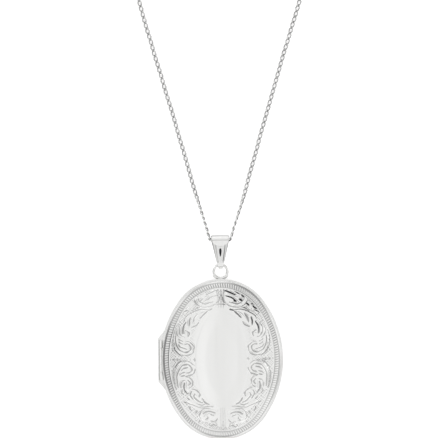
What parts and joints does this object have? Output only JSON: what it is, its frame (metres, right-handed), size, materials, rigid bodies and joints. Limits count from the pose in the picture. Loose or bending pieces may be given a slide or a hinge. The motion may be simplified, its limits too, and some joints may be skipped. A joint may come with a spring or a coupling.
{
  "type": "locket",
  "caption": "Large oval picture locket with a hinged engraved cover, two inner photo frames, a ring, a tapered bail and a fine curb chain with a bolt-ring clasp.",
  "frame": {"origin": "centre of the flat of the back, on the surface the locket lies on", "axes": "+Z out of the engraved cover, +Y towards the ring, bail and chain, +X to the right as the cover is seen; the hinge is on the -X side"},
  "size_m": [0.0429, 0.1298, 0.007],
  "materials": {
    "polished_silver": "polished",
    "inner_silver": "satin",
    "steel_wire": "bright",
    "paper": "matt, uncoated card",
    "clear_sheet": "clear"
  },
  "bodies": {
    "bail": {"bail": "polished_silver", "chain_left": "polished_silver", "chain_right": "polished_silver", "coil_left": "polished_silver", "coil_right": "polished_silver", "clasp_body": "polished_silver", "clasp_spring": "steel_wire", "clasp_eye": "polished_silver", "clasp_link": "polished_silver", "end_ring": "polished_silver"},
    "case": {"back_shell": "polished_silver", "back_snap_rim": "inner_silver", "back_photo_card": "paper", "back_window": "clear_sheet", "back_photo_frame": "inner_silver", "hinge_knuckles_back": "polished_silver", "hinge_pin": "steel_wire", "hinge_shoulders": "polished_silver", "catch_bead": "inner_silver", "suspension_ring": "polished_silver"},
    "cover": {"cover_shell": "polished_silver", "cover_frame_seat": "inner_silver", "cover_photo_card": "paper", "cover_window": "clear_sheet", "cover_photo_frame": "inner_silver", "hinge_knuckles_cover": "polished_silver", "hinge_bearer": "inner_silver"},
    "clasp_bolt": {"clasp_bolt": "steel_wire"}
  },
  "joints": [
    {"name": "locket_swing", "type": "hinge", "parent": "bail", "child": "case", "pos_m": [0, 0.02313, 0.0026], "axis": [-1, 0, 0], "range_deg": [0, 90]},
    {"name": "cover_hinge", "type": "hinge", "parent": "case", "child": "cover", "pos_m": [-0.0149, 0, 0.0035], "axis": [0, -1, 0], "range_deg": [0, 170]},
    {"name": "clasp_bolt_slide", "type": "hinge", "parent": "bail", "child": "clasp_bolt", "pos_m": [0.001, 0.1066, 0.0007], "axis": [0, 0, 1], "range_deg": [0, 58], "stiffness_Nm_per_rad": 0.0005, "springref_deg": -20.05, "deforming": ["clasp_spring"]}
  ]
}
